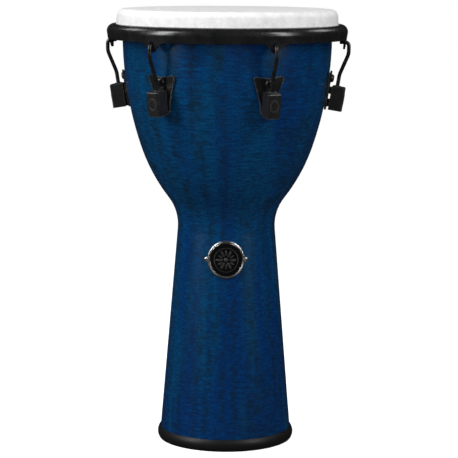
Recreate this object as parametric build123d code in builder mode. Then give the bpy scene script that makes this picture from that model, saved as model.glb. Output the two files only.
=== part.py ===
from build123d import *

import math
import os

# Djembe with a moulded synthetic shell and a mechanically tuned head.
#
# Millimetres, +Z up, origin at the centre of the foot's underside, front (badge) towards -Y.
# The head is a thin moulded skin.  A counterhoop pulls it down over the shell's rim by means of
# six hooks.  Each hook passes down through a bracket bolted to the shell and ends in a nut, which
# a socket wrench turns from below, inside a moulded cover.
# Every lug piece is modelled once, at the front of the drum, and carried round to six stations.

# ---------------------------------------------------------------- driving dimensions
HEIGHT = 635.0                 # floor to the playing face, 25 inches
WALL = 7.0                     # shell wall
STEM_RADIUS = 97.7             # the stem's cone, carried down to the floor
STEM_TAPER = 4.75              # degrees, how far the stem leans inward going up
STEM_TOP = 313.7               # where the stem's cone ends and the waist begins
WAIST_BEND = 67.0              # hollow bend at the waist
WAIST_LEAN = 37.5              # degrees, steepest outward lean, where waist becomes bowl
LOWER_BOWL_BEND = 262.0
UPPER_BOWL_LEAN = 18.4         # degrees, where the two bowl bends meet
UPPER_BOWL_BEND = 513.0
RIM_OUTER_ROUND = 4.0
RIM_INNER_ROUND = 2.5

FOOT_HEIGHT = 17.0             # rubber foot ring
FOOT_BASE = 4.0                # rubber under the shell
FOOT_BULGE_RADIUS = 100.8
FOOT_FLOOR_RADIUS = 98.2
FOOT_LIP = 1.0
FOOT_INNER_WALL = 3.0
FOOT_INNER_HEIGHT = 14.0
GLUE_LINE = 0.15               # gap between the rubber and the shell's two faces

FILM = 0.6                     # skin thickness
HEAD_CORNER_ROUND = 9.9
COLLAR_LEAN = 5.0              # degrees, the skin's collar widens going down
COLLAR_RADIUS = 162.55         # at the collar's lower edge
COLLAR_BOTTOM = 600.0

FLESH_HOOP_INNER = 163.0
FLESH_HOOP_WIDTH = 7.6
FLESH_HOOP_HEIGHT = 9.0
FLESH_HOOP_BOTTOM = 600.0
FLESH_HOOP_ROUND = 2.6

HOOP_RADIUS = 175.0            # widest part of the counterhoop
HOOP_ROLL = 10.4               # outer radius of its rolled top edge
HOOP_TOP = 613.5
HOOP_INNER = 162.9
HOOP_SHEET = 2.8
HOOP_BAND_BOTTOM = 592.0
EAR_DEPTH = 13.6
EAR_HALF_WIDTH = 25.0
EAR_TIP_RADIUS = 6.25
EAR_FLARE_RISE = 0.4
EAR_HOLE = 8.2
EAR_HOLE_HEIGHT = 589.4
CUT_MARGIN = 2.0               # how far a cutter reaches past what it cuts

STATIONS = 6
FIRST_STATION = -37.4          # degrees from the front, counted towards +X
LUG_TILT = 9.0                 # degrees, rods and brackets lean with the shell wall
ROD = 5.56                     # 7/32 inch
ROD_RADIUS_AT_LUG = 160.9      # drum axis to rod axis, at the lug's origin
LUG_HEIGHT = 523.5             # height of the same point
HOOK_TIP_RADIUS = 163.5
HOOK_HEIGHT = 588.6
HOOK_OUTER_RADIUS = 176.8
HOOK_SHOULDER = 572.0          # where the hook turns in towards the bracket
HOOK_KNEE = 542.0              # where it meets the line of the nut
HOOK_BENDS = (5.2, 22.0, 30.0)
HOOK_TAIL = 22.8               # rod end below the lug's origin, along the rod
ROD_CHAMFER = 0.8

PLATE_THICKNESS = 2.5
PLATE_GAP = 10.9               # rod axis to the plate's outer face, square to the rod
PLATE_TOP = 22.6               # heights along the plate, from the lug's origin
PLATE_BOTTOM = -34.6
PLATE_KNEE = -17.4
PLATE_HALF_TOP = 24.25
PLATE_HALF_KNEE = 11.5
PLATE_HALF_BOTTOM = 9.0
PLATE_DIP = 4.0                # hollow of the plate's upper edge
PLATE_TOP_CORNER = 3.5
PLATE_BOTTOM_CORNER = 5.0
PLATE_CURVE = 148.3            # inner radius of the plate, round the shell
ARM_WIDTH = 15.3
ARM_HEIGHT = 9.5
ARM_REACH = 9.0                # past the rod axis
ARM_CORNER = 2.0
ROD_HOLE = 6.6

CAP_TOP = 1.5                  # top of the cover, over the lug's origin
CAP_WIDTH = 20.5
CAP_FRONT = 11.9               # rod axis to the cover's outer face
CAP_BACK = 7.6                 # rod axis to the cover's open back
CAP_HEIGHT = 35.0
CAP_WALL = 2.5
CAP_EDGE = 2.4
CAP_TOP_ROUND = 2.2
CAP_INNER_EDGE = 1.0
CAP_ROD_HOLE = 7.2
CAP_BOSS = 10.4
CAP_BOSS_HEIGHT = 0.9
OVAL = (6.4, 8.6)              # half axes of the raised oval on the cover
OVAL_RIB = 1.2
OVAL_HEIGHT = 0.6

WASHER_THICKNESS = 1.2
WASHER_OUTER = 13.0
NUT_ACROSS_FLATS = 11.1        # 7/16 inch
NUT_HEIGHT = 8.0
NUT_BORE = 6.1
NUT_PLAY = 0.1
NUT_CHAMFER = 0.5

BOLT_SPOTS = (11.5, -24.1)     # bolt axes along the plate, from the lug's origin
BOLT_HEAD = 11.9
BOLT_HEAD_HEIGHT = 4.2
BOLT_HEAD_ROUND = 3.4
BOLT_SHANK = 6.0
BOLT_LENGTH = 18.0
BOLT_HOLE = 6.6
INNER_WASHER_OUTER = 16.0
INNER_WASHER_THICKNESS = 1.4
INNER_NUT_ACROSS_FLATS = 10.0
INNER_NUT_HEIGHT = 5.0
THREAD_PLAY = 0.1
INNER_WALL_SAG = 1.5           # flat washer against the hollow inside of the shell

BADGE_HEIGHT = 278.0           # centre of the badge
BADGE_RADIUS = 27.5
BADGE_FACE_RADIUS = 23.4
BADGE_BACK = 1.0
BADGE_RIM = 2.6
BADGE_FACE_THICKNESS = 0.8
BADGE_TAB_SPAN = 31.7          # centre of the badge to the end of a tab
BADGE_TAB_HALF_HEIGHT = 3.6
BADGE_PIN_SPREAD = 28.6
BADGE_PIN = 2.4
BADGE_PIN_HEAD = 4.6
BADGE_PIN_HEAD_HEIGHT = 1.3
BADGE_PIN_HEAD_ROUND = 1.04
BADGE_PIN_LENGTH = 6.0
PIN_PLAY = 0.1
PIN_HOLE_DEPTH = 6.5
BADGE_GAP = 0.1

# ---------------------------------------------------------------- derived values and planes
TAN_TAPER = math.tan(math.radians(STEM_TAPER))
COS_TAPER = math.cos(math.radians(STEM_TAPER))
TAN_LUG = math.tan(math.radians(LUG_TILT))
COS_LUG = math.cos(math.radians(LUG_TILT))
SIN_LUG = math.sin(math.radians(LUG_TILT))
STATION_ANGLES = [FIRST_STATION + 360 / STATIONS * index for index in range(STATIONS)]

# A vertical half plane through the front of the drum: x is the radius, y the height.
RADIAL = Plane(origin=(0, 0, 0), x_dir=(0, -1, 0), z_dir=(-1, 0, 0))
# The front lug: z runs up the rod, y points outward, and the origin is on the rod's axis.
OUTWARD = Vector(0, -COS_LUG, -SIN_LUG)
ALONG_ROD = Vector(0, -SIN_LUG, COS_LUG)
LUG = Plane(origin=(0, -ROD_RADIUS_AT_LUG, LUG_HEIGHT), x_dir=(-1, 0, 0), z_dir=ALONG_ROD)
# The plate's outer face: z points outward and y runs up the plate.
PLATE_FACE = Plane(origin=LUG.origin - OUTWARD * PLATE_GAP, x_dir=(1, 0, 0), z_dir=OUTWARD)
CAP_FACE = Plane(origin=LUG.origin + OUTWARD * CAP_FRONT, x_dir=(1, 0, 0), z_dir=OUTWARD)
BOLT_CENTRES = [(0, height) for height in BOLT_SPOTS]


def turned(plane, angle):
    """The same plane, carried round the drum's axis."""
    return Plane(
        origin=plane.origin.rotate(Axis.Z, angle),
        x_dir=plane.x_dir.rotate(Axis.Z, angle),
        z_dir=plane.z_dir.rotate(Axis.Z, angle),
    )


def stem_radius(height, inset=0.0):
    """Radius of the stem, `inset` inside its outer face."""
    return STEM_RADIUS - height * TAN_TAPER - inset / COS_TAPER


def rod_radius(height):
    """Distance of the rod's lower, straight part from the drum's axis."""
    return ROD_RADIUS_AT_LUG + (height - LUG_HEIGHT) * TAN_LUG


def pin_plane(side):
    """The plane of a badge pin's head: on the tab, square to the stem's wall at that point."""
    swing = side * math.degrees(math.asin(BADGE_PIN_SPREAD / stem_radius(BADGE_HEIGHT)))
    face = Vector(0, -stem_radius(BADGE_HEIGHT, -BADGE_BACK - BADGE_GAP), BADGE_HEIGHT)
    return Plane(origin=face.rotate(Axis.Z, swing), z_dir=Vector(0, -1, 0).rotate(Axis.Z, swing))


def wall_line(inset):
    """The wall's outline from foot to rim, `inset` inside the outer face; returns its two ends."""
    lean = math.radians(STEM_TAPER)
    stem_end = (
        stem_radius(STEM_TOP) - inset * math.cos(lean),
        STEM_TOP - inset * math.sin(lean),
    )
    stem = Line((stem_radius(FOOT_BASE, inset), FOOT_BASE), stem_end)
    waist = JernArc(stem @ 1, stem % 1, WAIST_BEND + inset, -(STEM_TAPER + WAIST_LEAN))
    lower_bowl = JernArc(waist @ 1, waist % 1, LOWER_BOWL_BEND - inset, WAIST_LEAN - UPPER_BOWL_LEAN)
    upper_bowl = JernArc(lower_bowl @ 1, lower_bowl % 1, UPPER_BOWL_BEND - inset, UPPER_BOWL_LEAN)
    rim = Line(upper_bowl @ 1, ((upper_bowl @ 1).X, HEIGHT - FILM))
    return stem @ 0, rim @ 1


def save(part, name):
    """Label a finished piece and write it."""
    part.label = name
    export_step(part, f"parts/{name}.step")


def save_at_stations(part, name):
    """Carry a piece made at the front round to the six lugs, and write each one."""
    for index, angle in enumerate(STATION_ANGLES, start=1):
        save(part.rotate(Axis.Z, angle), f"{name}_{index}")


os.makedirs("parts", exist_ok=True)

# ---------------------------------------------------------------- shell
with BuildPart() as shell:
    with BuildSketch(RADIAL) as wall_section:
        with BuildLine():
            outer_foot, outer_rim = wall_line(0)
            inner_foot, inner_rim = wall_line(WALL)
            Line(outer_foot, inner_foot)
            Line(outer_rim, inner_rim)
        make_face()
        rim_corners = wall_section.vertices().group_by(Axis.Y)[-1].sort_by(Axis.X)
        fillet(rim_corners[-1], RIM_OUTER_ROUND)
        rim_corners = wall_section.vertices().group_by(Axis.Y)[-1].sort_by(Axis.X)
        fillet(rim_corners[0], RIM_INNER_ROUND)
    revolve(axis=Axis.Z)
    for angle in STATION_ANGLES:
        with BuildSketch(turned(PLATE_FACE, angle)):
            with Locations(*BOLT_CENTRES):
                Circle(BOLT_HOLE / 2)
        extrude(amount=-BOLT_LENGTH, mode=Mode.SUBTRACT)
    for side in (-1, 1):
        with BuildSketch(pin_plane(side)):
            Circle(BADGE_PIN / 2 + PIN_PLAY)
        extrude(amount=-PIN_HOLE_DEPTH, mode=Mode.SUBTRACT)
save(shell.part, "shell")

# ---------------------------------------------------------------- foot ring
# A rubber channel glued over the lower edge of the stem.
with BuildPart() as foot_ring:
    with BuildSketch(RADIAL):
        with BuildLine():
            outer_top = stem_radius(FOOT_HEIGHT) + GLUE_LINE
            inner_top = stem_radius(FOOT_INNER_HEIGHT, WALL) - GLUE_LINE
            inner_face = inner_top - FOOT_INNER_WALL
            ThreePointArc(
                (FOOT_FLOOR_RADIUS, 0),
                (FOOT_BULGE_RADIUS, FOOT_HEIGHT / 2),
                (outer_top + FOOT_LIP, FOOT_HEIGHT),
            )
            Polyline(
                (outer_top + FOOT_LIP, FOOT_HEIGHT),
                (outer_top, FOOT_HEIGHT),
                (stem_radius(FOOT_BASE) + GLUE_LINE, FOOT_BASE),
                (stem_radius(FOOT_BASE, WALL) - GLUE_LINE, FOOT_BASE),
                (inner_top, FOOT_INNER_HEIGHT),
                (inner_face, FOOT_INNER_HEIGHT),
                (inner_face, 0),
                (FOOT_FLOOR_RADIUS, 0),
            )
        make_face()
    revolve(axis=Axis.Z)
save(foot_ring.part, "foot_ring")

# ---------------------------------------------------------------- drumhead
# A flat skin with a rounded corner and a collar, the collar's edge held by the flesh hoop.
with BuildPart() as drumhead:
    with BuildSketch(RADIAL):
        collar_slope = math.tan(math.radians(COLLAR_LEAN))
        corner = COLLAR_RADIUS - (HEIGHT - COLLAR_BOTTOM) * collar_slope
        film_across = FILM / math.cos(math.radians(COLLAR_LEAN))
        inner_corner = corner - film_across + FILM * collar_slope
        with BuildLine():
            FilletPolyline(
                (0, HEIGHT),
                (corner, HEIGHT),
                (COLLAR_RADIUS, COLLAR_BOTTOM),
                radius=HEAD_CORNER_ROUND,
            )
            FilletPolyline(
                (0, HEIGHT - FILM),
                (inner_corner, HEIGHT - FILM),
                (COLLAR_RADIUS - film_across, COLLAR_BOTTOM),
                radius=HEAD_CORNER_ROUND - FILM,
            )
            Line((0, HEIGHT), (0, HEIGHT - FILM))
            Line((COLLAR_RADIUS, COLLAR_BOTTOM), (COLLAR_RADIUS - film_across, COLLAR_BOTTOM))
        make_face()
    revolve(axis=Axis.Z)
save(drumhead.part, "drumhead")

# ---------------------------------------------------------------- flesh hoop
with BuildPart() as flesh_hoop:
    with BuildSketch(RADIAL) as hoop_section:
        with Locations((FLESH_HOOP_INNER, FLESH_HOOP_BOTTOM)):
            Rectangle(FLESH_HOOP_WIDTH, FLESH_HOOP_HEIGHT, align=(Align.MIN, Align.MIN))
        outer_corners = hoop_section.vertices().group_by(Axis.X)[-1]
        fillet(outer_corners, FLESH_HOOP_ROUND)
    revolve(axis=Axis.Z)
save(flesh_hoop.part, "flesh_hoop")

# ---------------------------------------------------------------- counterhoop
ROLL_CENTRE = (HOOP_RADIUS - HOOP_ROLL, HOOP_TOP - HOOP_ROLL)
ROLL_INNER = HOOP_ROLL - HOOP_SHEET
SEAT = FLESH_HOOP_BOTTOM + FLESH_HOOP_HEIGHT


def band_radius(height, inset=0.0):
    """Radius of the hoop's leaning band, `inset` inside its outer face."""
    tangent_radius = ROLL_CENTRE[0] + HOOP_ROLL * COS_LUG
    tangent_height = ROLL_CENTRE[1] - HOOP_ROLL * SIN_LUG
    return tangent_radius - (tangent_height - height) * TAN_LUG - inset / COS_LUG


# What is cut away between the ears, all round.  An ear's outline is a round tip with a concave
# flare on each side, and the flares end a little above the band's lower edge.
SKIRT_BOTTOM = HOOP_BAND_BOTTOM - EAR_DEPTH
with BuildPart() as between_ears:
    with BuildSketch(Plane.XY.offset(SKIRT_BOTTOM - CUT_MARGIN)):
        Circle(HOOP_RADIUS + CUT_MARGIN)
        Circle(FLESH_HOOP_INNER, mode=Mode.SUBTRACT)
    extrude(amount=EAR_DEPTH + CUT_MARGIN)
    flare_end = HOOP_BAND_BOTTOM + EAR_FLARE_RISE
    tip_height = SKIRT_BOTTOM + EAR_TIP_RADIUS
    tip_drop = flare_end - tip_height
    flare = EAR_HALF_WIDTH**2 + tip_drop**2 - EAR_TIP_RADIUS**2
    flare = flare / (2 * (tip_drop + EAR_TIP_RADIUS))
    meet = math.degrees(math.atan2(flare - tip_drop, EAR_HALF_WIDTH))
    for angle in STATION_ANGLES:
        with BuildSketch(turned(Plane.XZ, angle)):
            with BuildLine():
                CenterArc((EAR_HALF_WIDTH, flare_end - flare), flare, 90, 90 - meet)
                CenterArc((-EAR_HALF_WIDTH, flare_end - flare), flare, meet, 90 - meet)
                CenterArc((0, tip_height), EAR_TIP_RADIUS, 180 + meet, 180 - 2 * meet)
                Line((EAR_HALF_WIDTH, flare_end), (-EAR_HALF_WIDTH, flare_end))
            make_face()
        extrude(amount=2 * HOOP_RADIUS, mode=Mode.SUBTRACT)

with BuildPart() as counterhoop:
    with BuildSketch(RADIAL):
        with BuildLine():
            seat_drop = SEAT - ROLL_CENTRE[1]
            seat_end = (ROLL_CENTRE[0] + math.sqrt(ROLL_INNER**2 - seat_drop**2), SEAT)
            seat_angle = math.degrees(math.asin(seat_drop / ROLL_INNER))
            inner_roll = CenterArc(ROLL_CENTRE, ROLL_INNER, -LUG_TILT, LUG_TILT + seat_angle)
            outer_roll = CenterArc(ROLL_CENTRE, HOOP_ROLL, -LUG_TILT, LUG_TILT + 90)
            lip = ROLL_CENTRE[0] - HOOP_INNER
            lip_round = CenterArc((ROLL_CENTRE[0], HOOP_TOP - lip), lip, 90, 90)
            Line(lip_round @ 1, (HOOP_INNER, SEAT))
            Line((HOOP_INNER, SEAT), seat_end)
            Polyline(
                inner_roll @ 0,
                (band_radius(SKIRT_BOTTOM, HOOP_SHEET), SKIRT_BOTTOM),
                (band_radius(SKIRT_BOTTOM), SKIRT_BOTTOM),
                outer_roll @ 0,
            )
        make_face()
    revolve(axis=Axis.Z)
    add(between_ears.part, mode=Mode.SUBTRACT)
    for angle in STATION_ANGLES:
        with BuildSketch(turned(Plane.XZ, angle)):
            with Locations((0, EAR_HOLE_HEIGHT)):
                Circle(EAR_HOLE / 2)
        extrude(amount=2 * HOOP_RADIUS, mode=Mode.SUBTRACT)
save(counterhoop.part, "counterhoop")

# ---------------------------------------------------------------- tuning hooks
with BuildPart() as tuning_hook:
    tail_height = LUG_HEIGHT - HOOK_TAIL * COS_LUG
    with BuildLine(RADIAL) as hook_line:
        FilletPolyline(
            (HOOK_TIP_RADIUS, HOOK_HEIGHT),
            (HOOK_OUTER_RADIUS, HOOK_HEIGHT),
            (HOOK_OUTER_RADIUS, HOOK_SHOULDER),
            (rod_radius(HOOK_KNEE), HOOK_KNEE),
            (rod_radius(tail_height), tail_height),
            radius=HOOK_BENDS,
        )
    with BuildSketch(Plane(origin=hook_line.line @ 0, z_dir=hook_line.line % 0)):
        Circle(ROD / 2)
    sweep(path=hook_line.line)
    rod_ends = tuning_hook.faces().filter_by(GeomType.PLANE)
    chamfer(rod_ends.edges(), ROD_CHAMFER)
save_at_stations(tuning_hook.part, "tuning_hook")

# ---------------------------------------------------------------- side plates with lug arms
ARM_TOP = CAP_TOP - CAP_WALL
ARM_BOTTOM = ARM_TOP - ARM_HEIGHT
with BuildPart() as side_plate:
    with BuildSketch(LUG.offset(PLATE_BOTTOM)):
        with Locations((0, -PLATE_GAP - PLATE_THICKNESS - PLATE_CURVE)):
            Circle(PLATE_CURVE + PLATE_THICKNESS)
            Circle(PLATE_CURVE, mode=Mode.SUBTRACT)
    extrude(amount=PLATE_TOP - PLATE_BOTTOM)
    with BuildSketch(PLATE_FACE) as outline:
        with BuildLine():
            ThreePointArc(
                (-PLATE_HALF_TOP, PLATE_TOP),
                (0, PLATE_TOP - PLATE_DIP),
                (PLATE_HALF_TOP, PLATE_TOP),
            )
            Polyline(
                (PLATE_HALF_TOP, PLATE_TOP),
                (PLATE_HALF_KNEE, PLATE_KNEE),
                (PLATE_HALF_BOTTOM, PLATE_BOTTOM),
                (-PLATE_HALF_BOTTOM, PLATE_BOTTOM),
                (-PLATE_HALF_KNEE, PLATE_KNEE),
                (-PLATE_HALF_TOP, PLATE_TOP),
            )
        make_face()
        fillet(outline.vertices().group_by(Axis.Y)[-1], PLATE_TOP_CORNER)
        fillet(outline.vertices().group_by(Axis.Y)[0], PLATE_BOTTOM_CORNER)
    extrude(amount=PLATE_CURVE, both=True, mode=Mode.INTERSECT)
    with BuildSketch(LUG.offset(ARM_BOTTOM)) as arm_section:
        arm_root = -PLATE_GAP - PLATE_THICKNESS / 2
        with Locations((0, arm_root)):
            Rectangle(ARM_WIDTH, ARM_REACH - arm_root, align=(Align.CENTER, Align.MIN))
        fillet(arm_section.vertices().group_by(Axis.Y)[-1], ARM_CORNER)
    extrude(amount=ARM_HEIGHT)
    with BuildSketch(LUG.offset(ARM_BOTTOM)):
        Circle(ROD_HOLE / 2)
    extrude(amount=ARM_HEIGHT, mode=Mode.SUBTRACT)
    with BuildSketch(PLATE_FACE):
        with Locations(*BOLT_CENTRES):
            Circle(BOLT_HOLE / 2)
    extrude(amount=2 * PLATE_THICKNESS, both=True, mode=Mode.SUBTRACT)
save_at_stations(side_plate.part, "side_plate")

# ---------------------------------------------------------------- lug caps
# A moulded cover, open at the back and underneath, that drops over the bracket's arm.
with BuildPart() as lug_cap:
    with BuildSketch(LUG.offset(CAP_TOP)) as cap_section:
        with Locations((0, -CAP_BACK)):
            Rectangle(CAP_WIDTH, CAP_BACK + CAP_FRONT, align=(Align.CENTER, Align.MIN))
        fillet(cap_section.vertices().group_by(Axis.Y)[-1], CAP_EDGE)
    extrude(amount=-CAP_HEIGHT)
    top_face = lug_cap.faces().sort_by(Axis(LUG.origin, ALONG_ROD))[-1]
    fillet(top_face.edges(), CAP_TOP_ROUND)
    with BuildSketch(LUG.offset(ARM_TOP)) as cavity:
        with Locations((0, -CAP_BACK)):
            Rectangle(
                CAP_WIDTH - 2 * CAP_WALL,
                CAP_BACK + CAP_FRONT - CAP_WALL,
                align=(Align.CENTER, Align.MIN),
            )
        fillet(cavity.vertices().group_by(Axis.Y)[-1], CAP_INNER_EDGE)
    extrude(amount=-CAP_HEIGHT, mode=Mode.SUBTRACT)
    with BuildSketch(LUG.offset(CAP_TOP - CAP_WALL / 2)):
        Circle(CAP_BOSS / 2)
    extrude(amount=CAP_WALL / 2 + CAP_BOSS_HEIGHT)
    with BuildSketch(LUG.offset(CAP_TOP + CAP_BOSS_HEIGHT)):
        Circle(CAP_ROD_HOLE / 2)
    extrude(amount=-2 * CAP_WALL, mode=Mode.SUBTRACT)
    with BuildSketch(CAP_FACE):
        with Locations((0, CAP_TOP - CAP_HEIGHT / 2)):
            Ellipse(*OVAL)
            Ellipse(OVAL[0] - OVAL_RIB, OVAL[1] - OVAL_RIB, mode=Mode.SUBTRACT)
    extrude(amount=OVAL_HEIGHT)
save_at_stations(lug_cap.part, "lug_cap")

# ---------------------------------------------------------------- washers and nuts on the rods
with BuildPart() as tuning_washer:
    with BuildSketch(LUG.offset(ARM_BOTTOM)):
        Circle(WASHER_OUTER / 2)
        Circle(ROD_HOLE / 2, mode=Mode.SUBTRACT)
    extrude(amount=-WASHER_THICKNESS)
save_at_stations(tuning_washer.part, "tuning_washer")

with BuildPart() as tuning_nut:
    with BuildSketch(LUG.offset(ARM_BOTTOM - WASHER_THICKNESS - NUT_PLAY)):
        RegularPolygon(NUT_ACROSS_FLATS / 2, side_count=6, major_radius=False)
    extrude(amount=-NUT_HEIGHT)
    chamfer(tuning_nut.faces().sort_by(Axis(LUG.origin, ALONG_ROD))[0].edges(), NUT_CHAMFER)
    with BuildSketch(LUG):
        Circle(NUT_BORE / 2)
    extrude(amount=-CAP_HEIGHT, mode=Mode.SUBTRACT)
save_at_stations(tuning_nut.part, "tuning_nut")

# ---------------------------------------------------------------- plate fasteners, two to a plate
INNER_WASHER_SEAT = PLATE_THICKNESS + WALL + INNER_WALL_SAG
INNER_NUT_SEAT = INNER_WASHER_SEAT + INNER_WASHER_THICKNESS
with BuildPart() as plate_bolts:
    with BuildSketch(PLATE_FACE):
        with Locations(*BOLT_CENTRES):
            Circle(BOLT_HEAD / 2)
    extrude(amount=BOLT_HEAD_HEIGHT)
    head_tops = plate_bolts.faces().group_by(Axis(PLATE_FACE.origin, OUTWARD))[-1]
    fillet(head_tops.edges(), BOLT_HEAD_ROUND)
    with BuildSketch(PLATE_FACE):
        with Locations(*BOLT_CENTRES):
            Circle(BOLT_SHANK / 2)
    extrude(amount=-BOLT_LENGTH)
save_at_stations(plate_bolts.part, "plate_bolts")

with BuildPart() as plate_washers:
    with BuildSketch(PLATE_FACE.offset(-INNER_WASHER_SEAT)):
        with Locations(*BOLT_CENTRES):
            Circle(INNER_WASHER_OUTER / 2)
            Circle(BOLT_SHANK / 2 + THREAD_PLAY, mode=Mode.SUBTRACT)
    extrude(amount=-INNER_WASHER_THICKNESS)
save_at_stations(plate_washers.part, "plate_washers")

with BuildPart() as plate_nuts:
    with BuildSketch(PLATE_FACE.offset(-INNER_NUT_SEAT)):
        with Locations(*BOLT_CENTRES):
            RegularPolygon(INNER_NUT_ACROSS_FLATS / 2, side_count=6, major_radius=False)
            Circle(BOLT_SHANK / 2 + THREAD_PLAY, mode=Mode.SUBTRACT)
    extrude(amount=-INNER_NUT_HEIGHT)
save_at_stations(plate_nuts.part, "plate_nuts")


# ---------------------------------------------------------------- badge
# Three thin pieces bent round the stem.  Each is cut from a skin that lies round the whole stem.
def stem_skin(inner_offset, outer_offset):
    """A skin round the stem behind the badge, between two distances out from the stem's face."""
    low = BADGE_HEIGHT - BADGE_TAB_SPAN
    high = BADGE_HEIGHT + BADGE_TAB_SPAN
    with BuildPart() as skin:
        with BuildSketch(RADIAL):
            Polygon(
                (stem_radius(low, -inner_offset), low),
                (stem_radius(low, -outer_offset), low),
                (stem_radius(high, -outer_offset), high),
                (stem_radius(high, -inner_offset), high),
                align=None,
            )
        revolve(axis=Axis.Z)
    return skin.part


back_skin = stem_skin(BADGE_GAP, BADGE_BACK)
rim_skin = stem_skin(BADGE_GAP, BADGE_RIM)
face_skin = stem_skin(BADGE_BACK, BADGE_BACK + BADGE_FACE_THICKNESS)

with BuildPart() as badge_rim:
    add(rim_skin)
    with BuildSketch(Plane.XZ):
        with Locations((0, BADGE_HEIGHT)):
            Circle(BADGE_RADIUS)
            Circle(BADGE_FACE_RADIUS + BADGE_GAP, mode=Mode.SUBTRACT)
    extrude(amount=STEM_RADIUS, mode=Mode.INTERSECT)

with BuildPart() as badge_bezel:
    add(back_skin)
    with BuildSketch(Plane.XZ):
        with Locations((0, BADGE_HEIGHT)):
            Circle(BADGE_RADIUS)
            SlotOverall(2 * BADGE_TAB_SPAN, 2 * BADGE_TAB_HALF_HEIGHT)
    extrude(amount=STEM_RADIUS, mode=Mode.INTERSECT)
    add(badge_rim.part)
    for side in (-1, 1):
        with BuildSketch(pin_plane(side)):
            Circle(BADGE_PIN / 2 + PIN_PLAY)
        extrude(amount=BADGE_PIN_LENGTH, both=True, mode=Mode.SUBTRACT)
        with BuildSketch(pin_plane(side)):
            Circle(BADGE_PIN_HEAD / 2 + PIN_PLAY)
        extrude(amount=2 * BADGE_RIM, mode=Mode.SUBTRACT)
save(badge_bezel.part, "badge_bezel")

with BuildPart() as badge_face:
    add(face_skin)
    with BuildSketch(Plane.XZ):
        with Locations((0, BADGE_HEIGHT)):
            Circle(BADGE_FACE_RADIUS)
    extrude(amount=STEM_RADIUS, mode=Mode.INTERSECT)
save(badge_face.part, "badge_face")

# Two round-headed drive pins, square to the wall, through the badge's tabs.
with BuildPart() as badge_pins:
    for side in (-1, 1):
        with BuildSketch(pin_plane(side)):
            Circle(BADGE_PIN_HEAD / 2)
        extrude(amount=BADGE_PIN_HEAD_HEIGHT)
        head_top = badge_pins.faces().sort_by(Axis(pin_plane(side).origin, pin_plane(side).z_dir))[-1]
        fillet(head_top.edges(), BADGE_PIN_HEAD_ROUND)
        with BuildSketch(pin_plane(side)):
            Circle(BADGE_PIN / 2)
        extrude(amount=-BADGE_PIN_LENGTH)
save(badge_pins.part, "badge_pins")
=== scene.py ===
import math

import bmesh
import bpy
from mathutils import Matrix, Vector


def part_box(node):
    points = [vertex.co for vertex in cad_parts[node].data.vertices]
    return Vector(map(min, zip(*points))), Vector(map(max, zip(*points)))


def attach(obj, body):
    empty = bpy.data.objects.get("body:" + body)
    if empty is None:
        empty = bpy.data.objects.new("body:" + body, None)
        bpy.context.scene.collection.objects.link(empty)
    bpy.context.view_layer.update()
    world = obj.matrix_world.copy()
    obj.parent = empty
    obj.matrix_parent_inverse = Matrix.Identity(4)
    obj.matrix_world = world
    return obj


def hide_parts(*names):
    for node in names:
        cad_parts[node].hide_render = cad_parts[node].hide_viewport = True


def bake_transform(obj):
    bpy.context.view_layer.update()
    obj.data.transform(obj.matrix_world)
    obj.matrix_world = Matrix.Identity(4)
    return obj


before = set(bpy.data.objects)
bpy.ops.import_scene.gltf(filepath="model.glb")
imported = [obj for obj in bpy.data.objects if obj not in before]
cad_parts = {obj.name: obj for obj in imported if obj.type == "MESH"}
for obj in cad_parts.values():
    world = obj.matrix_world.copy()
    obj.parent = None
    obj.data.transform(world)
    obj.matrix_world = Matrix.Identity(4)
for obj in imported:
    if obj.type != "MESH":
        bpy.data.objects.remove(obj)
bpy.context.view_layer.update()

# Looks of the djembe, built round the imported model.  Metres, +Z up, badge towards -Y.
# Most CAD pieces stay as they are and get a finish.  The skin and the badge are replaced by
# finer meshes, and the badge gets a plain ornament.

HEAD_LOW, HEAD_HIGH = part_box("drumhead")
BEZEL_LOW, BEZEL_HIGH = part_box("badge_bezel")
TOP = HEAD_HIGH[2]
STATIONS = range(1, 7)

ROUND_SEGMENTS = 192                # round the drum
SMOOTH_ANGLE = math.radians(32)     # edges sharper than this stay crisp
WELD = 1e-7                         # points nearer than this are joined


# ---------------------------------------------------------------- node graph helper
BEVEL_SAMPLES = 4
FLAT_DOT = 0.995      # bevelled normal against true normal: no edge lightening (rubbing and painted highlight) above this
FULL_EDGE_DOT = 0.93       # and full edge lightening below this


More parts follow.
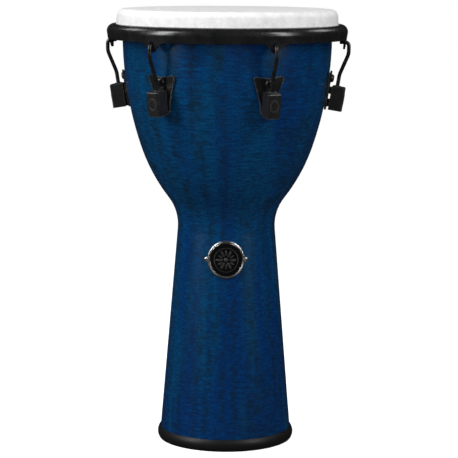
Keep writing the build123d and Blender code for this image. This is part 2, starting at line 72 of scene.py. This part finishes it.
class Finish:
    """A procedural material being put together round a Principled shader."""

    def __init__(self, name, **settings):
        self.material = bpy.data.materials.new(name)
        self.material.use_nodes = True
        self.tree = self.material.node_tree
        self.shader = self.tree.nodes["Principled BSDF"]
        for socket_name, value in settings.items():
            self.shader.inputs[socket_name.replace("_", " ")].default_value = value

    def feed(self, socket, value):
        """Link a socket to another one, or set it to a constant."""
        if isinstance(value, bpy.types.NodeSocket):
            self.tree.links.new(value, socket)
        else:
            socket.default_value = value

    def shade(self, socket_name, value):
        self.feed(self.shader.inputs[socket_name], value)

    def math(self, operation, first, second):
        node = self.tree.nodes.new("ShaderNodeMath")
        node.operation = operation
        self.feed(node.inputs[0], first)
        self.feed(node.inputs[1], second)
        return node.outputs[0]

    def position(self):
        return self.tree.nodes.new("ShaderNodeTexCoord").outputs["Object"]

    def stretched(self, x_scale, y_scale, z_scale):
        """The position with each axis scaled, for grain that runs along an axis."""
        node = self.tree.nodes.new("ShaderNodeVectorMath")
        node.operation = "MULTIPLY"
        self.feed(node.inputs[0], self.position())
        node.inputs[1].default_value = (x_scale, y_scale, z_scale)
        return node.outputs[0]

    def around_axis(self, turn_scale, rise_scale):
        """A direction round the drum's axis, with height: a seamless map of a turned surface."""
        split = self.tree.nodes.new("ShaderNodeSeparateXYZ")
        self.feed(split.inputs[0], self.position())
        flat = self.tree.nodes.new("ShaderNodeCombineXYZ")
        self.feed(flat.inputs[0], split.outputs[0])
        self.feed(flat.inputs[1], split.outputs[1])
        unit = self.tree.nodes.new("ShaderNodeVectorMath")
        unit.operation = "NORMALIZE"
        self.feed(unit.inputs[0], flat.outputs[0])
        spread = self.tree.nodes.new("ShaderNodeVectorMath")
        spread.operation = "SCALE"
        self.feed(spread.inputs[0], unit.outputs[0])
        spread.inputs["Scale"].default_value = turn_scale
        rise = self.tree.nodes.new("ShaderNodeCombineXYZ")
        self.feed(rise.inputs[2], self.math("MULTIPLY", split.outputs[2], rise_scale))
        total = self.tree.nodes.new("ShaderNodeVectorMath")
        total.operation = "ADD"
        self.feed(total.inputs[0], spread.outputs[0])
        self.feed(total.inputs[1], rise.outputs[0])
        return total.outputs[0]

    def height(self):
        """Height over the floor, in metres."""
        split = self.tree.nodes.new("ShaderNodeSeparateXYZ")
        self.feed(split.inputs[0], self.position())
        return split.outputs[2]

    def facing_axis(self):
        """1 where a turned surface looks at the drum's axis, 0 where it looks away from it."""
        flat = self.tree.nodes.new("ShaderNodeVectorMath")
        flat.operation = "DOT_PRODUCT"
        self.feed(flat.inputs[0], self.stretched(1, 1, 0))
        self.feed(flat.inputs[1], self.tree.nodes.new("ShaderNodeTexCoord").outputs["Normal"])
        return self.math("LESS_THAN", flat.outputs["Value"], 0.0)

    def noise(self, vector, scale=1.0, detail=3.0, roughness=0.5):
        node = self.tree.nodes.new("ShaderNodeTexNoise")
        self.feed(node.inputs["Vector"], vector)
        node.inputs["Scale"].default_value = scale
        node.inputs["Detail"].default_value = detail
        node.inputs["Roughness"].default_value = roughness
        return node.outputs[0]

    def remap(self, value, low, high, new_low=0.0, new_high=1.0):
        node = self.tree.nodes.new("ShaderNodeMapRange")
        self.feed(node.inputs["Value"], value)
        node.inputs["From Min"].default_value = low
        node.inputs["From Max"].default_value = high
        node.inputs["To Min"].default_value = new_low
        node.inputs["To Max"].default_value = new_high
        return node.outputs[0]

    def mix(self, factor, first, second):
        node = self.tree.nodes.new("ShaderNodeMix")
        node.data_type = "RGBA"
        self.feed(node.inputs["Factor"], factor)
        for socket, value in ((node.inputs[6], first), (node.inputs[7], second)):
            if isinstance(value, tuple) and len(value) == 3:
                value = (*value, 1.0)
            self.feed(socket, value)
        return node.outputs[2]

    def bump(self, height, distance, strength):
        node = self.tree.nodes.new("ShaderNodeBump")
        self.feed(node.inputs["Height"], height)
        node.inputs["Distance"].default_value = distance
        node.inputs["Strength"].default_value = strength
        return node.outputs["Normal"]

    def weighted(self, first, first_share, second, second_share):
        """Two noises added, each with its share."""
        first_part = self.math("MULTIPLY", first, first_share)
        second_part = self.math("MULTIPLY", second, second_share)
        return self.math("ADD", first_part, second_part)

    def edge_rub_and_glint(self, radius):
        """1 along sharp edges and 0 on flat ground, from how far a bevel would turn the normal; it marks
        edges that are painted lighter, partly as rubbing and partly as a painted highlight.
        """
        bevel = self.tree.nodes.new("ShaderNodeBevel")
        bevel.samples = BEVEL_SAMPLES
        bevel.inputs["Radius"].default_value = radius
        normal = self.tree.nodes.new("ShaderNodeNewGeometry").outputs["Normal"]
        dot = self.tree.nodes.new("ShaderNodeVectorMath")
        dot.operation = "DOT_PRODUCT"
        self.feed(dot.inputs[0], bevel.outputs[0])
        self.feed(dot.inputs[1], normal)
        return self.remap(dot.outputs["Value"], FLAT_DOT, FULL_EDGE_DOT)


# ---------------------------------------------------------------- finishes
def grey(level):
    return (level, level, level)


# Linear colours.
TEAL = (0.0007, 0.051, 0.140)
BLUE = (0.0007, 0.028, 0.130)
WEAVE_SHADE = (0.0008, 0.0130, 0.052)
WEAVE_GLEAM = (0.0012, 0.080, 0.235)
MOTTLE = (0.0050, 0.0150, 0.0200)
BARE_FIBRE_DARK = (0.020, 0.018, 0.016)
BARE_FIBRE_LIGHT = (0.055, 0.050, 0.044)
SKIN_SHADE = grey(0.68)
SKIN_WHITE = grey(0.88)
COAT_DARK = (0.0060, 0.0062, 0.0066)
COAT_LIGHT = (0.0100, 0.0100, 0.0105)
# grey of rubbed edges, also standing in for a painted highlight along the edges
COAT_RUB_AND_GLINT = (0.26, 0.255, 0.25)
NYLON_DARK = (0.0085, 0.0085, 0.0088)
NYLON_LIGHT = (0.0130, 0.0130, 0.0132)
# lighter grey for the cap edges: a painted edge highlight, with some rubbing
NYLON_RUB_AND_GLINT = (0.085, 0.083, 0.080)
RUBBER = (0.0070, 0.0070, 0.0075)
RUBBER_SCUFF = (0.030, 0.029, 0.028)
ZINC_DULL = (0.42, 0.42, 0.41)
ZINC_BRIGHT = (0.62, 0.62, 0.60)
ALUMINIUM_DULL = (0.50, 0.50, 0.51)
ALUMINIUM_BRIGHT = (0.68, 0.68, 0.69)
NICKEL_BRIGHT = (0.82, 0.82, 0.81)
NICKEL_TARNISH = (0.58, 0.57, 0.56)
ENAMEL_DARK = (0.0022, 0.0022, 0.0024)
ENAMEL_LIGHT = (0.0045, 0.0045, 0.0048)
PAPER_LOW = grey(0.61)
PAPER_HIGH = grey(0.63)
PAPER_GLOW = 0.70

BLUER_FROM = 0.40     # height where the shell starts to turn bluer, going down
BLUER_TO = 0.05       # height where it is bluest
SCUFF_TOP = 0.009     # scuffs on the rubber fade out here
SCUFF_BOTTOM = 0.001


def shell_film():
    """Blue figured film under a satin lacquer outside, bare fibre on the inside of the bore.

    The figure is a fine cross weave with brown-green mottling in upright columns, and the film
    gets bluer towards the foot.
    """
    finish = Finish("shell_film", Specular_IOR_Level=0.42, IOR=1.45)
    drift = finish.noise(finish.around_axis(3.5, 5.0), detail=2.0)
    columns = finish.noise(finish.around_axis(7.0, 4.0), detail=2.0)
    patches = finish.noise(finish.around_axis(8.0, 55.0), detail=3.0, roughness=0.6)
    strokes = finish.noise(finish.around_axis(8.0, 400.0), detail=5.0, roughness=0.72)
    weave = finish.noise(finish.around_axis(110.0, 850.0), detail=3.0, roughness=0.75)
    cloth = finish.weighted(strokes, 0.45, weave, 0.55)
    lower = finish.remap(finish.height(), BLUER_FROM, BLUER_TO, 0.0, 0.13)
    blueness = finish.math("ADD", drift, lower)
    colour = finish.mix(finish.remap(blueness, 0.42, 0.66), TEAL, BLUE)
    colour = finish.mix(finish.remap(cloth, 0.47, 0.58, 0.0, 0.85), colour, WEAVE_SHADE)
    colour = finish.mix(finish.remap(cloth, 0.47, 0.36, 0.0, 0.75), colour, WEAVE_GLEAM)
    in_column = finish.remap(columns, 0.36, 0.60)
    in_patch = finish.remap(patches, 0.34, 0.62)
    mottling = finish.math("MULTIPLY", in_column, in_patch)
    mottling = finish.math("MULTIPLY", mottling, finish.remap(cloth, 0.42, 0.56, 0.40, 1.0))
    colour = finish.mix(finish.math("MULTIPLY", mottling, 0.85), colour, MOTTLE)
    bare = finish.facing_axis()
    fibre = finish.mix(finish.remap(weave, 0.35, 0.65), BARE_FIBRE_DARK, BARE_FIBRE_LIGHT)
    finish.shade("Base Color", finish.mix(bare, colour, fibre))
    satin = finish.remap(cloth, 0.35, 0.65, 0.20, 0.27)
    finish.shade("Roughness", finish.math("ADD", satin, finish.math("MULTIPLY", bare, 0.4)))
    finish.shade("Normal", finish.bump(cloth, 0.00006, 0.5))
    return finish.material


def drum_skin():
    """White fibrous film: cloudy fibre clumps, short fibres and a slightly pebbled face."""
    finish = Finish("drum_skin", IOR=1.5)
    clouds = finish.noise(finish.position(), scale=85.0, detail=4.0, roughness=0.6)
    fibres_x = finish.noise(finish.stretched(260, 1300, 600), detail=3.0)
    fibres_y = finish.noise(finish.stretched(1200, 300, 600), detail=3.0)
    fibre = finish.math("MAXIMUM", fibres_x, fibres_y)
    tone = finish.weighted(clouds, 0.55, fibre, 0.45)
    finish.shade("Base Color", finish.mix(finish.remap(tone, 0.38, 0.66), SKIN_SHADE, SKIN_WHITE))
    finish.shade("Roughness", finish.remap(fibre, 0.3, 0.8, 0.60, 0.46))
    finish.shade("Normal", finish.bump(tone, 0.00025, 0.5))
    return finish.material


def black_coat(name, roughness, rub_and_glint_strength):
    """Black powder coat on steel; where the edge strength given is over 0, its edges are painted towards
    grey: partly rubbed-through coat, partly a painted highlight along the edges.
    """
    finish = Finish(name, IOR=1.5)
    cloud = finish.noise(finish.position(), scale=60.0, detail=4.0)
    grain = finish.noise(finish.position(), scale=2600.0, detail=2.0)
    colour = finish.mix(finish.remap(cloud, 0.35, 0.65), COAT_DARK, COAT_LIGHT)
    rough = finish.remap(cloud, 0.35, 0.65, roughness - 0.03, roughness + 0.04)
    if rub_and_glint_strength > 0:
        patchy = finish.remap(cloud, 0.38, 0.60, 0.3, rub_and_glint_strength)
        # edges painted lighter grey: rubbed coat plus a painted highlight along the edges
        rub_and_glint = finish.math("MULTIPLY", finish.edge_rub_and_glint(0.0008), patchy)
        colour = finish.mix(rub_and_glint, colour, COAT_RUB_AND_GLINT)
        rough = finish.math("SUBTRACT", rough, finish.math("MULTIPLY", rub_and_glint, 0.12))
    finish.shade("Base Color", colour)
    finish.shade("Roughness", rough)
    finish.shade("Normal", finish.bump(grain, 0.00003, 0.5))
    return finish.material


def moulded_black():
    """Spark-textured black nylon, painted a little lighter on its rounded edges: a painted edge
    highlight, with some rubbing.
    """
    finish = Finish("moulded_black", Specular_IOR_Level=0.5, IOR=1.5)
    pebbles = finish.noise(finish.position(), scale=1500.0, detail=3.0, roughness=0.6)
    cloud = finish.noise(finish.position(), scale=90.0, detail=3.0)
    # rounded edges painted lighter: a painted edge highlight plus some rubbing
    rub_and_glint = finish.math("MULTIPLY", finish.edge_rub_and_glint(0.0009), 0.9)
    base = finish.mix(finish.remap(cloud, 0.35, 0.65), NYLON_DARK, NYLON_LIGHT)
    finish.shade("Base Color", finish.mix(rub_and_glint, base, NYLON_RUB_AND_GLINT))
    finish.shade("Roughness", finish.remap(pebbles, 0.35, 0.65, 0.27, 0.38))
    finish.shade("Normal", finish.bump(pebbles, 0.00010, 0.6))
    return finish.material


def foot_rubber():
    """Black rubber with a fine moulded grain and scuffs near the floor."""
    finish = Finish("foot_rubber", Specular_IOR_Level=0.30, IOR=1.5)
    grain = finish.noise(finish.position(), scale=1800.0, detail=3.0)
    scuffs = finish.noise(finish.around_axis(40.0, 900.0), detail=3.0)
    low = finish.remap(finish.height(), SCUFF_TOP, SCUFF_BOTTOM)
    scuffed = finish.math("MULTIPLY", low, finish.remap(scuffs, 0.52, 0.72, 0.0, 0.5))
    finish.shade("Base Color", finish.mix(scuffed, RUBBER, RUBBER_SCUFF))
    finish.shade("Roughness", finish.remap(grain, 0.3, 0.7, 0.40, 0.52))
    finish.shade("Normal", finish.bump(grain, 0.00006, 0.6))
    return finish.material


def zinc_steel():
    """Bright zinc plate, dulled in patches."""
    finish = Finish("zinc_steel", Metallic=1.0)
    cloud = finish.noise(finish.position(), scale=300.0, detail=4.0)
    brushed = finish.noise(finish.stretched(400, 400, 6000), detail=2.0)
    finish.shade("Base Color", finish.mix(cloud, ZINC_DULL, ZINC_BRIGHT))
    finish.shade("Roughness", finish.remap(brushed, 0.3, 0.7, 0.24, 0.42))
    finish.shade("Normal", finish.bump(brushed, 0.00001, 0.5))
    return finish.material


def hoop_aluminium():
    """Rolled aluminium channel with a drawn grain round the drum."""
    finish = Finish("hoop_aluminium", Metallic=1.0)
    drawn = finish.noise(finish.around_axis(4.0, 5200.0), detail=2.0)
    finish.shade("Base Color", finish.mix(drawn, ALUMINIUM_DULL, ALUMINIUM_BRIGHT))
    finish.shade("Roughness", finish.remap(drawn, 0.3, 0.7, 0.30, 0.45))
    return finish.material


def badge_metal():
    """Stamped nickel, finely pebbled, with cloudy tarnish."""
    finish = Finish("badge_metal", Metallic=1.0)
    cloud = finish.noise(finish.position(), scale=220.0, detail=4.0)
    fine = finish.noise(finish.position(), scale=2400.0, detail=2.0)
    tarnish = finish.remap(cloud, 0.35, 0.7)
    finish.shade("Base Color", finish.mix(tarnish, NICKEL_BRIGHT, NICKEL_TARNISH))
    finish.shade("Roughness", finish.remap(fine, 0.3, 0.7, 0.22, 0.34))
    finish.shade("Normal", finish.bump(fine, 0.00001, 0.4))
    return finish.material


def badge_enamel():
    """Deep black enamel, faintly orange-peeled."""
    finish = Finish("badge_enamel", Specular_IOR_Level=0.30, IOR=1.5)
    peel = finish.noise(finish.position(), scale=420.0, detail=2.0)
    finish.shade("Base Color", finish.mix(peel, ENAMEL_DARK, ENAMEL_LIGHT))
    finish.shade("Roughness", finish.remap(peel, 0.3, 0.7, 0.12, 0.20))
    finish.shade("Normal", finish.bump(peel, 0.00004, 0.3))
    return finish.material


def floor_paper():
    """Pale sweep paper, mostly bright by its own glow, so that the drum's shadow on it is faint."""
    finish = Finish("floor_paper", Roughness=0.9, Specular_IOR_Level=0.0)
    tone = finish.noise(finish.position(), scale=3.0, detail=2.0)
    finish.shade("Base Color", finish.mix(tone, PAPER_LOW, PAPER_HIGH))
    finish.shader.inputs["Emission Color"].default_value = (1.0, 1.0, 1.0, 1.0)
    finish.shader.inputs["Emission Strength"].default_value = PAPER_GLOW
    return finish.material


# ---------------------------------------------------------------- mesh helpers
def finished_object(name, mesh, material):
    """A smooth-shaded object with crisp edges where faces meet sharply."""
    mesh.materials.append(material)
    mesh.shade_smooth()
    mesh.set_sharp_from_angle(angle=SMOOTH_ANGLE)
    piece = bpy.data.objects.new(name, mesh)
    bpy.context.collection.objects.link(piece)
    return piece


def grid_mesh(name, rows, closed_rows):
    """A quad mesh through rings of points; a ring whose points coincide becomes a fan's centre."""
    work = bmesh.new()
    verts = [[work.verts.new(point) for point in row] for row in rows]
    row_pairs = list(zip(verts, verts[1:]))
    if closed_rows:
        row_pairs.append((verts[-1], verts[0]))
    for lower, upper in row_pairs:
        count = len(lower)
        for column in range(count):
            following = (column + 1) % count
            work.faces.new((lower[column], lower[following], upper[following], upper[column]))
    bmesh.ops.remove_doubles(work, verts=work.verts, dist=WELD)
    bmesh.ops.recalc_face_normals(work, faces=work.faces)
    mesh = bpy.data.meshes.new(name)
    work.to_mesh(mesh)
    work.free()
    return mesh


def arc_points(centre_x, centre_y, radius, start, end, steps):
    """Points on an arc, angles in degrees."""
    points = []
    for step in range(steps + 1):
        angle = math.radians(start + (end - start) * step / steps)
        points.append((centre_x + radius * math.cos(angle), centre_y + radius * math.sin(angle)))
    return points


def ring_of(radius, height):
    """One ring of points round the drum's axis."""
    ring = []
    for step in range(ROUND_SEGMENTS):
        angle = 2 * math.pi * step / ROUND_SEGMENTS
        ring.append((radius * math.sin(angle), -radius * math.cos(angle), height))
    return ring


# ---------------------------------------------------------------- drumhead
FILM = 0.0006
HEAD_ROUND = 0.0099                     # corner between face and collar
COLLAR_LEAN = math.radians(5)
FACE_STEPS = 12
CORNER_STEPS = 14
COLLAR_STEPS = 8


def head_outline(inset):
    """Radius and height from the middle of the skin to the collar's edge, `inset` below the face."""
    collar_radius = HEAD_HIGH[0]
    collar_bottom = HEAD_LOW[2]
    slope = math.tan(COLLAR_LEAN)
    corner = collar_radius - (TOP - collar_bottom) * slope
    corner += inset * slope - inset / math.cos(COLLAR_LEAN)
    turn = math.pi / 2 - COLLAR_LEAN
    radius = HEAD_ROUND - inset
    flat_end = corner - radius * math.tan(turn / 2)
    face = TOP - inset
    outline = [(flat_end * step / FACE_STEPS, face) for step in range(FACE_STEPS)]
    outline += arc_points(flat_end, face - radius, radius, 90, math.degrees(COLLAR_LEAN), CORNER_STEPS)
    last_radius, last_height = outline[-1]
    for step in range(1, COLLAR_STEPS + 1):
        height = last_height + (collar_bottom - last_height) * step / COLLAR_STEPS
        outline.append((last_radius + (last_height - height) * slope, height))
    return outline


def make_drumhead(material):
    outline = head_outline(0.0) + head_outline(FILM)[::-1]
    rows = [ring_of(radius, height) for radius, height in outline]
    piece = finished_object("skin", grid_mesh("skin", rows, False), material)
    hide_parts("drumhead")
    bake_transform(piece)


# ---------------------------------------------------------------- badge
MM = 0.001
BADGE_CENTRE = (BEZEL_LOW[2] + BEZEL_HIGH[2]) / 2
BADGE_RADIUS = (BEZEL_HIGH[2] - BEZEL_LOW[2]) / 2
STEM_FLOOR_RADIUS = 0.0977              # the stem's cone, carried down to the floor
STEM_SLOPE = math.tan(math.radians(4.75))

# Sections run from the outer edge inward: share of the piece's radius, and millimetres over the stem.
BEZEL_SEGMENTS = 160
BEZEL_SECTION = (
    (1.000, 0.1), (1.000, 0.9), (0.992, 1.6), (0.976, 2.15), (0.955, 2.50), (0.935, 2.60),
    (0.917, 2.45), (0.905, 2.10), (0.899, 1.80), (0.893, 1.75), (0.886, 1.95), (0.877, 2.10),
    (0.868, 2.00), (0.862, 1.70), (0.852, 1.65), (0.850, 0.1),
)
TAB_SPAN = BEZEL_HIGH[0]
TAB_RADIUS = 0.0036
TAB_SEGMENTS = 40
TAB_SECTION = ((1.0, 0.1), (1.0, 0.6), (0.86, 1.15), (0.74, 1.25), (0.52, 1.0), (0.0, 1.0))

FACE_RADIUS = 0.0234
FACE_TUCK = 0.0001                      # how far the enamel runs under the bezel
FACE_RINGS = 8
FACE_SEGMENTS = 96
FACE_FOOT = 0.0001                      # heights over the stem
FACE_EDGE = 0.0015
FACE_TOP = 0.0018

ORNAMENT_BASE = 0.00175
ORNAMENT_TOP = ORNAMENT_BASE + 0.0004
BOSS_SHOULDER = ORNAMENT_BASE + 0.0007
BOSS_TOP = ORNAMENT_BASE + 0.0008
RING_OUTER = 0.0176
RING_INNER = 0.0168
BOSS_RADII = (0.0030, 0.0028, 0.0014)   # foot, edge and shoulder
ROUND_ORNAMENT_SEGMENTS = 72
LEAVES = 12
LEAF_LENGTHS = (0.0050, 0.0036)         # taken in turn
LEAF_REACH = 0.0098
LEAF_SQUEEZE = 0.34
LEAF_EDGE = 0.93                        # shares of a leaf's length
LEAF_INNER = 0.5
LEAF_SEGMENTS = 28


def on_stem(across, up, out):
    """A point that lies `out` over the stem's face, at a place on the badge seen from the front."""
    height = BADGE_CENTRE + up
    radius = STEM_FLOOR_RADIUS - height * STEM_SLOPE + out
    return (across, -math.sqrt(radius**2 - across**2), height)


def polar_rows(section, segments, squeeze=1.0, centre=(0.0, 0.0), turn=0.0):
    """Rings round a place on the badge; squeeze flattens them into ovals before the turn."""
    rows = []
    for radius, out in section:
        row = []
        for step in range(segments):
            angle = 2 * math.pi * step / segments
            along = radius * math.cos(angle)
            aside = radius * squeeze * math.sin(angle)
            across = centre[0] + along * math.cos(turn) - aside * math.sin(turn)
            up = centre[1] + along * math.sin(turn) + aside * math.cos(turn)
            row.append(on_stem(across, up, out))
        rows.append(row)
    return rows


def scaled_section(section, radius):
    """A section's shares and millimetres as metres."""
    return [(share * radius, out * MM) for share, out in section]


def make_bezel(material):
    rows = polar_rows(scaled_section(BEZEL_SECTION, BADGE_RADIUS), BEZEL_SEGMENTS)
    piece = finished_object("bezel", grid_mesh("bezel", rows, True), material)
    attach(piece, "drum")
    for side, word in ((-1, "left"), (1, "right")):
        make_bezel_tab(side, word, material)
    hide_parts("badge_bezel")


def make_bezel_tab(side, word, material):
    """A domed tab beside the bezel, that a drive pin goes through."""
    middle = side * (TAB_SPAN - TAB_RADIUS)
    rows = polar_rows(scaled_section(TAB_SECTION, TAB_RADIUS), TAB_SEGMENTS, centre=(middle, 0.0))
    tab = finished_object(f"bezel_tab_{word}", grid_mesh("bezel_tab", rows, False), material)
    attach(tab, "drum")


def make_face(material):
    rim = FACE_RADIUS + FACE_TUCK
    section = [(rim, FACE_FOOT), (rim, FACE_EDGE)]
    for step in range(FACE_RINGS - 1, -1, -1):
        section.append((FACE_RADIUS * step / FACE_RINGS, FACE_TOP))
    mesh = grid_mesh("enamel", polar_rows(section, FACE_SEGMENTS), False)
    piece = finished_object("enamel", mesh, material)
    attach(piece, "drum")
    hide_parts("badge_face")


def add_ornament(name, rows, is_ring, material):
    """One raised shape on the enamel: a closed ring, or a lid that ends at its own middle."""
    piece = finished_object(name, grid_mesh(name, rows, is_ring), material)
    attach(piece, "drum")


def make_leaf(index, material):
    """One leaf of the rosette: an oval lying along a line from the badge's middle."""
    length = LEAF_LENGTHS[index % 2]
    section = [(length, ORNAMENT_BASE), (length * LEAF_EDGE, ORNAMENT_TOP)]
    section += [(length * LEAF_INNER, ORNAMENT_TOP), (0.0, ORNAMENT_TOP)]
    turn = 2 * math.pi * index / LEAVES
    centre = (LEAF_REACH * math.cos(turn), LEAF_REACH * math.sin(turn))
    rows = polar_rows(section, LEAF_SEGMENTS, LEAF_SQUEEZE, centre, turn)
    add_ornament(f"rosette_leaf_{index + 1}", rows, False, material)


def make_ornament(material):
    """A plain rosette raised on the enamel: a ring, a small boss and twelve leaves."""
    ring = [(RING_OUTER, ORNAMENT_BASE), (RING_OUTER, ORNAMENT_TOP)]
    ring += [(RING_INNER, ORNAMENT_TOP), (RING_INNER, ORNAMENT_BASE)]
    add_ornament("rosette_ring", polar_rows(ring, ROUND_ORNAMENT_SEGMENTS), True, material)
    foot, edge, shoulder = BOSS_RADII
    boss = [(foot, ORNAMENT_BASE), (edge, ORNAMENT_TOP), (shoulder, BOSS_SHOULDER), (0.0, BOSS_TOP)]
    add_ornament("rosette_boss", polar_rows(boss, ROUND_ORNAMENT_SEGMENTS), False, material)
    for index in range(LEAVES):
        make_leaf(index, material)


# ---------------------------------------------------------------- finishes on the CAD nodes
def dress(node, material):
    """Give a CAD node its finish."""
    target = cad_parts[node]
    if not target.material_slots:
        target.data.materials.append(material)
    for slot in target.material_slots:
        slot.material = material


def dress_nodes():
    hoop_coat = black_coat("hoop_coat", roughness=0.26, rub_and_glint_strength=0)
    # the brackets get the full painted edge highlight, together with rubbing
    bracket_coat = black_coat("bracket_coat", roughness=0.30, rub_and_glint_strength=1.0)
    rod_coat = black_coat("rod_coat", roughness=0.26, rub_and_glint_strength=0)
    steel = zinc_steel()
    moulding = moulded_black()
    dress("shell", shell_film())
    dress("foot_ring", foot_rubber())
    dress("counterhoop", hoop_coat)
    dress("flesh_hoop", hoop_aluminium())
    for station in STATIONS:
        dress(f"tuning_hook_{station}", rod_coat)
        dress(f"side_plate_{station}", bracket_coat)
        dress(f"plate_bolts_{station}", bracket_coat)
        dress(f"lug_cap_{station}", moulding)
        for small in ("tuning_washer", "tuning_nut", "plate_washers", "plate_nuts"):
            dress(f"{small}_{station}", steel)


# ---------------------------------------------------------------- stage
FLOOR_HALF = 40.0
FLOOR_HEIGHT = -0.0003                  # just under the foot, so the two don't coincide
AIM_HEIGHT = 0.38
CEILING_POWER = 1.5
CEILING_ANGLE = math.radians(70)
WORLD_LIGHT = 0.012

LENS = 146.1
SENSOR_WIDTH = 36.0
FRAME_SHIFT = 0.0025
CAMERA_PLACE = (0.0, -2.7138, 0.7163)
CAMERA_PITCH = math.radians(8.51)       # downwards
CAMERA_ROLL = math.radians(-0.33)
FAR_CLIP = 200.0


def add_floor():
    mesh = bpy.data.meshes.new("floor")
    around = ((-1, -1), (1, -1), (1, 1), (-1, 1))
    corners = [(x * FLOOR_HALF, y * FLOOR_HALF, FLOOR_HEIGHT) for x, y in around]
    mesh.from_pydata(corners, [], [(0, 1, 2, 3)])
    mesh.materials.append(floor_paper())
    floor = bpy.data.objects.new("floor", mesh)
    bpy.context.collection.objects.link(floor)
    floor.visible_diffuse = False
    floor.visible_glossy = False


def add_softbox(name, azimuth, distance, height, size, power, aim_height=AIM_HEIGHT):
    """An area light at an azimuth in degrees from the front, aimed at the drum's axis."""
    light = bpy.data.lights.new(name, "AREA")
    light.shape = "RECTANGLE"
    light.size, light.size_y = size
    light.energy = power
    lamp = bpy.data.objects.new(name, light)
    turn = math.radians(azimuth)
    lamp.location = (distance * math.sin(turn), -distance * math.cos(turn), height)
    aim = Vector((0, 0, aim_height)) - lamp.location
    lamp.rotation_euler = aim.to_track_quat("-Z", "Y").to_euler()
    bpy.context.collection.objects.link(lamp)
    return lamp


def hide_lamp(lamp):
    """Keep a lamp's light, but not its face or its reflection."""
    lamp.visible_camera = False
    lamp.visible_glossy = False


def add_ceiling():
    """A broad soft light from straight above."""
    light = bpy.data.lights.new("ceiling", "SUN")
    light.energy = CEILING_POWER
    light.angle = CEILING_ANGLE
    ceiling = bpy.data.objects.new("ceiling", light)
    ceiling.visible_glossy = False
    bpy.context.collection.objects.link(ceiling)


def add_world():
    world = bpy.data.worlds.new("studio")
    world.use_nodes = True
    background = world.node_tree.nodes["Background"]
    background.inputs["Color"].default_value = (1.0, 1.0, 1.0, 1.0)
    background.inputs["Strength"].default_value = WORLD_LIGHT
    bpy.context.scene.world = world


def add_lights():
    add_softbox("key_left", azimuth=-63, distance=1.55, height=1.16, size=(0.38, 1.25), power=23)
    add_softbox("key_right", azimuth=53, distance=1.55, height=1.16, size=(0.30, 1.25), power=14)
    front = add_softbox("front_fill", azimuth=0, distance=1.15, height=0.74, size=(0.9, 0.4),
                        power=3.8, aim_height=0.50)
    hide_lamp(front)
    for name, azimuth in (("side_left", -112), ("side_right", 112)):
        add_softbox(name, azimuth, distance=1.4, height=1.5, size=(0.6, 0.5), power=4)
    bounce = add_softbox("floor_bounce", azimuth=0, distance=0.0, height=0.001, size=(3.0, 3.0), power=9)
    hide_lamp(bounce)
    add_ceiling()
    add_world()


def add_camera():
    """The photograph's view: from a little above the head, looking slightly down, from far off."""
    camera_data = bpy.data.cameras.new("camera")
    camera_data.lens = LENS
    camera_data.sensor_width = SENSOR_WIDTH
    camera_data.shift_x = FRAME_SHIFT
    camera_data.shift_y = FRAME_SHIFT
    camera_data.clip_end = FAR_CLIP
    camera = bpy.data.objects.new("camera", camera_data)
    camera.location = CAMERA_PLACE
    camera.rotation_mode = "XYZ"
    camera.rotation_euler = (math.pi / 2 - CAMERA_PITCH, CAMERA_ROLL, 0.0)
    bpy.context.collection.objects.link(camera)
    bpy.context.scene.camera = camera


add_camera()
add_floor()
add_lights()
bpy.context.scene.view_settings.view_transform = "Standard"
dress_nodes()
make_drumhead(drum_skin())
bezel_metal = badge_metal()
make_bezel(bezel_metal)
make_face(badge_enamel())
make_ornament(bezel_metal)
dress("badge_pins", bezel_metal)
